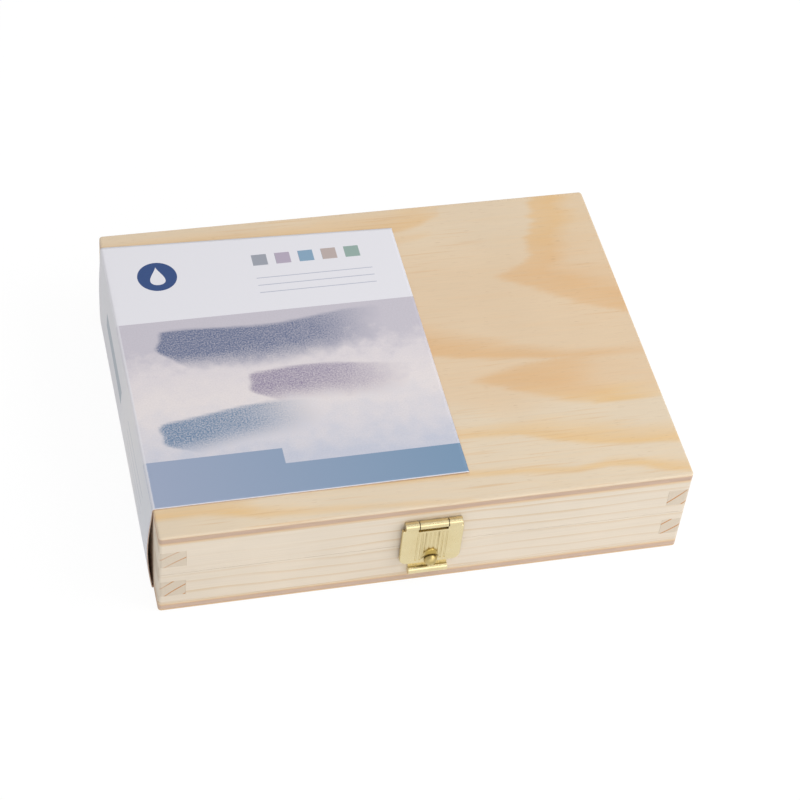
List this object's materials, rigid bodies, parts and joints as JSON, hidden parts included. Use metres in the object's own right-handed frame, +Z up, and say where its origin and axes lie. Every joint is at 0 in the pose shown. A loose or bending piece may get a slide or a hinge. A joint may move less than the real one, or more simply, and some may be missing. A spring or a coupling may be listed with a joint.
{
  "type": "wooden watercolor paint box",
  "caption": "Flat finger-jointed pine box with a hinged lid, brass hasp and printed card wrap, holding paint tubes with screw caps in divided compartments.",
  "frame": {"origin": "middle of the flat underside, where the box rests", "axes": "+X to the right along the front, +Y from the front to the hinged back, +Z up"},
  "size_m": [0.1821, 0.1491, 0.0384],
  "materials": {
    "pine": "sanded, unvarnished pine",
    "divider_wood": "sanded thin board",
    "ply_face": "sanded pine veneer",
    "ply_core": "end-grain veneer core",
    "brass": "bright rolled brass",
    "steel": "drawn wire",
    "card": "printed card with a satin coat",
    "tube_aluminium": "soft aluminium, white lacquered",
    "cap_plastic": "moulded black polypropylene",
    "seal_foam": "white polyethylene foam",
    "paint_1": "moist watercolour paste",
    "paint_2": "moist watercolour paste",
    "paint_3": "moist watercolour paste",
    "paint_4": "moist watercolour paste",
    "paint_5": "moist watercolour paste"
  },
  "bodies": {
    "tray": {"tray_front_board": "pine", "tray_back_board": "pine", "tray_left_board": "pine", "tray_right_board": "pine", "divider_1": "divider_wood", "divider_2": "divider_wood", "divider_3": "divider_wood", "divider_4": "divider_wood", "tray_outer_ply": "ply_face", "tray_core_ply": "ply_core", "tray_inner_ply": "ply_face", "tray_hinge_screws": "brass", "left_hinge_tray_leaf": "brass", "right_hinge_tray_leaf": "brass", "left_hinge_pin": "steel", "right_hinge_pin": "steel", "keeper_plate": "brass", "keeper_nails": "brass", "catch_stud": "brass"},
    "lid": {"lid_front_board": "pine", "lid_back_board": "pine", "lid_left_board": "pine", "lid_right_board": "pine", "lid_outer_ply": "ply_face", "lid_core_ply": "ply_core", "lid_inner_ply": "ply_face", "lid_hinge_screws": "brass", "left_hinge_lid_leaf": "brass", "right_hinge_lid_leaf": "brass", "hasp_leaf": "brass", "hasp_leaf_nails": "brass", "hasp_pin": "steel"},
    "hasp": {"hasp": "brass"},
    "wrap": {"card_wrap": "card"},
    "tube_1": {"tube_1": "tube_aluminium", "tube_1_paint": "paint_1"},
    "seal_1": {"tube_1_seal": "seal_foam"},
    "cap_1": {"tube_1_cap": "cap_plastic"},
    "tube_2": {"tube_2": "tube_aluminium", "tube_2_paint": "paint_2"},
    "seal_2": {"tube_2_seal": "seal_foam"},
    "cap_2": {"tube_2_cap": "cap_plastic"},
    "tube_3": {"tube_3": "tube_aluminium", "tube_3_paint": "paint_3"},
    "seal_3": {"tube_3_seal": "seal_foam"},
    "cap_3": {"tube_3_cap": "cap_plastic"},
    "tube_4": {"tube_4": "tube_aluminium", "tube_4_paint": "paint_4"},
    "seal_4": {"tube_4_seal": "seal_foam"},
    "cap_4": {"tube_4_cap": "cap_plastic"},
    "tube_5": {"tube_5": "tube_aluminium", "tube_5_paint": "paint_5"},
    "seal_5": {"tube_5_seal": "seal_foam"},
    "cap_5": {"tube_5_cap": "cap_plastic"}
  },
  "joints": [
    {"name": "lid_hinge", "type": "hinge", "parent": "tray", "child": "lid", "pos_m": [0, 0.07205, 0.019], "axis": [-1, 0, 0], "range_deg": [0, 177]},
    {"name": "hasp_swing", "type": "hinge", "parent": "lid", "child": "hasp", "pos_m": [0.0005, -0.0716, 0.0307], "axis": [-1, 0, 0], "range_deg": [0, 175]},
    {"name": "wrap_slide", "type": "slide", "parent": "lid", "child": "wrap", "axis": [-1, 0, 0], "range_m": [0, 0.11]},
    {"name": "tube_1_lift", "type": "slide", "parent": "tray", "child": "tube_1", "axis": [0, 0, 1], "range_m": [0, 0.01]},
    {"name": "cap_1_travel", "type": "slide", "parent": "tube_1", "child": "seal_1", "axis": [0, -1, 0], "range_m": [0, 0.003]},
    {"name": "cap_1_turn", "type": "hinge", "parent": "seal_1", "child": "cap_1", "pos_m": [-0.06564, -0.0375, 0.0138], "axis": [0, -1, 0], "range_deg": [0, 720]},
    {"name": "tube_2_lift", "type": "slide", "parent": "tray", "child": "tube_2", "axis": [0, 0, 1], "range_m": [0, 0.01]},
    {"name": "cap_2_travel", "type": "slide", "parent": "tube_2", "child": "seal_2", "axis": [0, -1, 0], "range_m": [0, 0.003]},
    {"name": "cap_2_turn", "type": "hinge", "parent": "seal_2", "child": "cap_2", "pos_m": [-0.03242, -0.0375, 0.0138], "axis": [0, -1, 0], "range_deg": [0, 720]},
    {"name": "tube_3_lift", "type": "slide", "parent": "tray", "child": "tube_3", "axis": [0, 0, 1], "range_m": [0, 0.01]},
    {"name": "cap_3_travel", "type": "slide", "parent": "tube_3", "child": "seal_3", "axis": [0, -1, 0], "range_m": [0, 0.003]},
    {"name": "cap_3_turn", "type": "hinge", "parent": "seal_3", "child": "cap_3", "pos_m": [0.0008, -0.0375, 0.0138], "axis": [0, -1, 0], "range_deg": [0, 720]},
    {"name": "tube_4_lift", "type": "slide", "parent": "tray", "child": "tube_4", "axis": [0, 0, 1], "range_m": [0, 0.01]},
    {"name": "cap_4_travel", "type": "slide", "parent": "tube_4", "child": "seal_4", "axis": [0, -1, 0], "range_m": [0, 0.003]},
    {"name": "cap_4_turn", "type": "hinge", "parent": "seal_4", "child": "cap_4", "pos_m": [0.03402, -0.0375, 0.0138], "axis": [0, -1, 0], "range_deg": [0, 720]},
    {"name": "tube_5_lift", "type": "slide", "parent": "tray", "child": "tube_5", "axis": [0, 0, 1], "range_m": [0, 0.01]},
    {"name": "cap_5_travel", "type": "slide", "parent": "tube_5", "child": "seal_5", "axis": [0, -1, 0], "range_m": [0, 0.003]},
    {"name": "cap_5_turn", "type": "hinge", "parent": "seal_5", "child": "cap_5", "pos_m": [0.06724, -0.0375, 0.0138], "axis": [0, -1, 0], "range_deg": [0, 720]}
  ],
  "couplings": [
    {"joint": "cap_1_travel", "follows": "cap_1_turn", "m_per_rad": 0.0002387},
    {"joint": "cap_2_travel", "follows": "cap_2_turn", "m_per_rad": 0.0002387},
    {"joint": "cap_3_travel", "follows": "cap_3_turn", "m_per_rad": 0.0002387},
    {"joint": "cap_4_travel", "follows": "cap_4_turn", "m_per_rad": 0.0002387},
    {"joint": "cap_5_travel", "follows": "cap_5_turn", "m_per_rad": 0.0002387}
  ]
}
